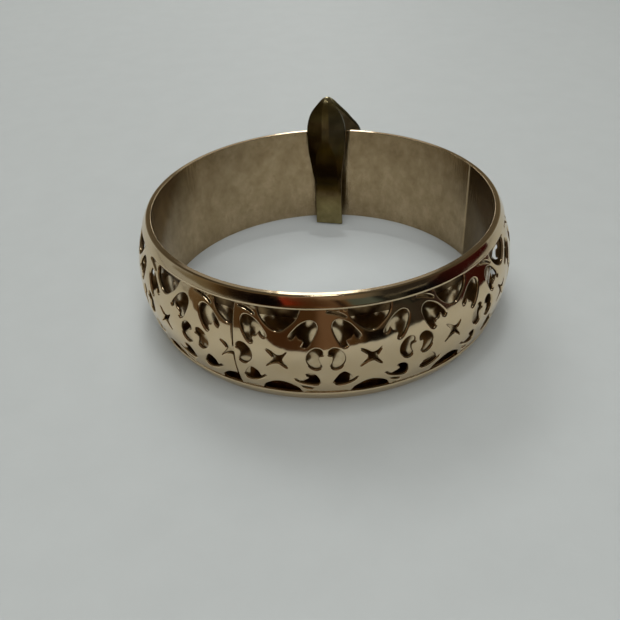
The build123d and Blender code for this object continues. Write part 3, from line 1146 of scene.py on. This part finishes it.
# In the order of FACETS, CREST, EDGES, RIGHT_FACET and UNDERSIDE
CLIP_FINISHES = [
    ("name", "stops", "roughness"),
    # All but the underside carry painted shade under the head and a painted highlight at the tip
    ("patina_and_painted_shade", FACET_STOPS, 0.24),
    ("rubbed_crest_and_painted_sheen", CREST_STOPS, 0.24),
    ("painted_shade_edges", EDGE_SHADE_STOPS, 0.24),
    ("right_facet_light_and_shade", RIGHT_STOPS, 0.24),
    ("unpolished_brass", UNDERSIDE_STOPS, 0.6),
]
for name, stops, roughness in CLIP_FINISHES[1:]:
    clip.data.materials.append(antique_brass(name, stops, roughness))
print("clip finishes:", [m.name for m in clip.data.materials])

# %% [markdown]
# ## The table
#
# The table is a plain pale laminate with a soft sheen, just rough enough to blur the ring's
# reflection away.

# %% Table
TABLE_HALF = 520.0
SPECKLE_SIZE = 9.0


def laminate():
    """Pale grey laminate with a soft sheen and a faint mottle."""
    material, tree, shader, place = new_material("pale_laminate")
    stops = [(0.3, "#BABFBE"), (0.7, "#BDC2C1")]
    _, tone = mottled(tree, place, SPECKLE_SIZE, stops, Detail=5.0, Roughness=0.6)
    feed(shader, {"Base Color": tone, "Roughness": 0.55})
    return material


def table_top():
    """The flat square that the bangle lies on."""
    mesh = bpy.data.meshes.new("table")
    h = TABLE_HALF * MM
    mesh.from_pydata([(-h, -h, 0), (h, -h, 0), (h, h, 0), (-h, h, 0)], [], [(0, 1, 2, 3)])
    mesh.materials.append(laminate())
    return placed("table", mesh)


table = table_top()
print("table:", 2 * TABLE_HALF, "mm across")

# %% [markdown]
# ## The light
#
# The light is a soft room and a few lamps. A lamp that metal can see is drawn in it as a bright
# shape, so most of these stay hidden from it. Four do show: two small ones behind the ring draw
# the white line along the near and far rims, a wide dim one puts a glow beside it, and one
# overhead is the glint on the clip's tip.
#
# The spot stands for the light that the liner throws down into the hollow.

# %% Room and lamps
ROOM_SHADES = [
    (0.0, "#9A9D9B"), (0.1, "#9A9D9B"), (0.2, "#8A8B85"), (0.36, "#6A6252"), (0.5, "#544E43"), (0.8, "#453F33"),
    (1.0, "#5C5850"),
]
LAMPS = [
    ("name", "azimuth", "elevation", "distance", "size", "watts", "seen in metal"),
    ("near_rim_lamp", -1.0, 34, 700, (92, 110), 0.085, True),
    ("far_rim_lamp", 0.5, 22.5, 700, (100, 100), 0.085, True),
    ("rim_glow", -1.0, 30, 720, (290, 300), 0.06, True),
    ("tip_lamp", 0, 86, 700, (100, 100), 0.36, True),
    ("near_lamp", 5, 60, 700, (240, 160), 0.55, False),
    ("far_lamp", -19, 45, 700, (300, 180), 1.3, False),
    ("overhead_lamp", 180, 80, 700, (500, 400), 1.6, False),
    ("front_lamp", 175, 33, 700, (420, 160), 1.6, False),
]
SPOT_PLACE, SPOT_AIM = (20, 240, 660), (0, 4, 0)
SPOT_ANGLE, SPOT_WATTS = math.radians(5.6), 4.5


def soft_room():
    """A world whose shade depends on the height that a ray looks at, and nothing else."""
    world = bpy.data.worlds.new("studio")
    bpy.context.scene.world = world
    world.use_nodes = True
    sky = world.node_tree
    direction = add_node(sky, "TexCoord").outputs["Generated"]
    upwards = add_node(sky, "SeparateXYZ", {"Vector": direction}).outputs["Z"]
    shade = add_node(sky, "ValToRGB", {"Fac": upwards}, ROOM_SHADES)
    feed(sky.nodes["Background"], {"Color": shade, "Strength": 1.0})


def aimed_light(data, place, direction, seen_in_metal):
    """Put a light at a place in metres and turn it in a direction."""
    light = placed(data.name, data)
    light.location = place
    light.rotation_euler = direction.to_track_quat("-Z", "Y").to_euler()
    light.visible_glossy = seen_in_metal


def soft_light(name, azimuth, elevation, distance, size, watts, seen_in_metal):
    """A rectangular soft light in a direction from the ring. Azimuth 0 is behind, towards +Y."""
    data = bpy.data.lights.new(name, "AREA")
    data.shape = "RECTANGLE"
    data.size, data.size_y = size[0] * MM, size[1] * MM
    data.energy = watts
    a, e = math.radians(azimuth), math.radians(elevation)
    away = Vector((math.sin(a) * math.cos(e), math.cos(a) * math.cos(e), math.sin(e)))
    aimed_light(data, away * distance * MM, -away, seen_in_metal)


def hollow_spot():
    """A narrow soft spot that lights the table inside the ring."""
    data = bpy.data.lights.new("hollow_spot", "SPOT")
    data.spot_size, data.spot_blend = SPOT_ANGLE, 0.9
    data.shadow_soft_size = 20 * MM
    data.energy = SPOT_WATTS
    aimed_light(data, Vector(SPOT_PLACE) * MM, Vector(SPOT_AIM) - Vector(SPOT_PLACE), False)


soft_room()
for lamp in LAMPS[1:]:
    soft_light(*lamp)
hollow_spot()

# %% [markdown]
# ## Cards for the reflections
#
# Metal looks like what surrounds it. Photographers stand dark cards, called flags, round a
# shiny thing, and here only reflections can see them. The low card browns the upper dome, the
# foot card deepens that on the right, the high card makes the rim's slanted black, red and grey
# bands, and the top card the soft tan above them.
#
# A card with straight edges ends as a block on the metal. So the low and high edges change
# with the azimuth, which tapers a reflection out.

# %% Cards
CARD_STEPS = 60
LOW_CARD = [
    ("azimuth", "distance", "low", "high", "shade"),
    (-68, 96, 16, 24, "#6A5A46"), (-63, 95, 4, 25, "#5E4E38"), (-57, 94, 0, 26, "#56462F"),
    (-42, 92, 0, 27, "#4E3C28"), (-33, 86, 0, 27, "#4E3A24"), (-24, 74, 0, 27, "#46301C"),
    (-19, 62, 0, 27, "#3E2817"), (-15, 56, 0, 27, "#3E2817"), (-5, 58, 0, 27, "#44301C"),
    (-1, 60, 0, 27, "#66503E"), (3, 61, 0, 27, "#66503E"), (6, 63, 0, 27, "#4C3824"),
    (12, 66, 0, 27, "#46341F"), (18, 67, 0, 27, "#3C3022"), (27, 74, 0, 27, "#38322A"),
    (36, 84, 0, 27, "#34302A"), (48, 84, 0, 26, "#2A2420"), (60, 82, 0, 23, "#341C18"),
    (72, 80, 0, 20, "#34140F"), (88, 78, 0, 15, "#34140F"),
]
FOOT_CARD = [
    ("azimuth", "distance", "low", "high", "shade"),
    (15, 66, 0, 9, "#140E08"), (20, 67, 0, 9, "#0C0806"), (29, 72, 0, 9, "#0C0806"), (38, 80, 0, 9, "#1A140E"),
]
HIGH_CARD = [
    ("azimuth", "distance", "low", "high", "shade"),
    (-84, 96, 24, 26, "#706A5A"), (-70, 96, 28, 33, "#706A5A"), (-60, 89, 28.3, 35, "#6C6452"),
    (-50, 82, 28.5, 38, "#4E3E28"), (-40, 76, 28.5, 38, "#1C120A"), (-30, 70, 26, 37, "#080404"),
    (-17, 68, 24, 37, "#080404"), (-15, 67, 24, 36, "#7E2A18"), (-11, 66, 24, 36, "#5A2414"),
    (-7, 66, 24, 36, "#4A2A1A"), (-1, 68, 24, 36, "#46301F"), (6, 70, 24, 36, "#5E4A3A"),
    (8.5, 71, 24, 37, "#120A08"), (11.5, 72, 24, 37, "#5A4630"), (14, 73, 24, 37, "#4A5450"),
    (23, 73, 24, 36, "#505A58"), (26, 73, 24, 33, "#141412"), (32, 73, 23, 32.5, "#34342E"),
    (38, 73, 22, 31.5, "#08080A"), (48, 72, 22, 30.5, "#0C0C10"), (56, 71, 22, 31, "#240E0C"),
    (72, 74, 21, 30, "#34100E"), (90, 76, 18, 28, "#34100E"),
]
TOP_CARD = [
    ("azimuth", "distance", "low", "high", "shade"),
    (-70, 100, 34, 60, "#70644E"), (-45, 88, 35, 60, "#70624E"), (-30, 80, 37, 60, "#6E5C48"),
    (-10, 75, 36, 60, "#947E6C"), (10, 75, 36, 60, "#7A6A5A"), (22, 78, 36, 60, "#5A564C"),
    (27, 80, 36, 60, "#2E2C28"), (48, 82, 34, 60, "#2E2A26"), (58, 84, 31, 60, "#4A3A32"),
    (90, 90, 29, 60, "#5A4A3C"),
]


def card_mesh(name, turns, edges):
    """An upright band from the distance, the low edge and the high edge at each of its turns."""
    points = []
    for turn, (distance, low, high) in zip(np.radians(turns), edges):
        points += [Vector((distance * math.sin(turn), -distance * math.cos(turn), z)) * MM for z in (low, high)]
    mesh = bpy.data.meshes.new(name)
    quads = [(2 * i, 2 * i + 2, 2 * i + 3, 2 * i + 1) for i in range(CARD_STEPS)]
    mesh.from_pydata(points, [], quads)
    return mesh


def card_glow(name, rows, slant, middle):
    """An even glow whose shade follows the azimuth, leaning over by the slant."""
    material, tree, _, place = new_material(name)
    azimuth, height = azimuth_and_height(tree, place)
    inputs = {0: height, 1: math.radians(slant) / MM, 2: azimuth}
    leaning = add_node(tree, "Math", inputs, operation="MULTIPLY_ADD")
    first, last = rows[0][0], rows[-1][0]
    low, high = (math.radians(a + slant * middle) for a in (first, last))
    share = add_node(tree, "MapRange", {"Value": leaning, "From Min": low, "From Max": high})
    stops = [((row[0] - first) / (last - first), row[4]) for row in rows]
    colours = add_node(tree, "ValToRGB", {"Fac": share}, stops)
    feed(tree.nodes["Material Output"], {"Surface": add_node(tree, "Emission", {"Color": colours})})
    return material


def dark_card(name, table, slant=0.0):
    """An upright curved card round the ring that only reflections see.

    Its table gives, at azimuths in degrees from the front, the distance from the axis, the low
    and high edge, and the shade. The slant leans the shades, in degrees for each millimetre up.
    """
    rows = table[1:]
    azimuths = [row[0] for row in rows]
    turns = np.linspace(azimuths[0], azimuths[-1], CARD_STEPS + 1)
    edges = np.stack([np.interp(turns, azimuths, [row[k] for row in rows]) for k in (1, 2, 3)], axis=1)
    middle = (edges[:, 1].mean() + edges[:, 2].mean()) / 2
    mesh = card_mesh(name, turns, edges)
    mesh.materials.append(card_glow(name, rows, slant, middle))
    card = placed(name, mesh)
    card.visible_camera = card.visible_shadow = card.visible_diffuse = False


dark_card("flag_low", LOW_CARD)
dark_card("flag_foot", FOOT_CARD)
dark_card("flag_high", HIGH_CARD, slant=0.6)
dark_card("flag_top", TOP_CARD)
bpy.context.scene.view_settings.view_transform = "Standard"
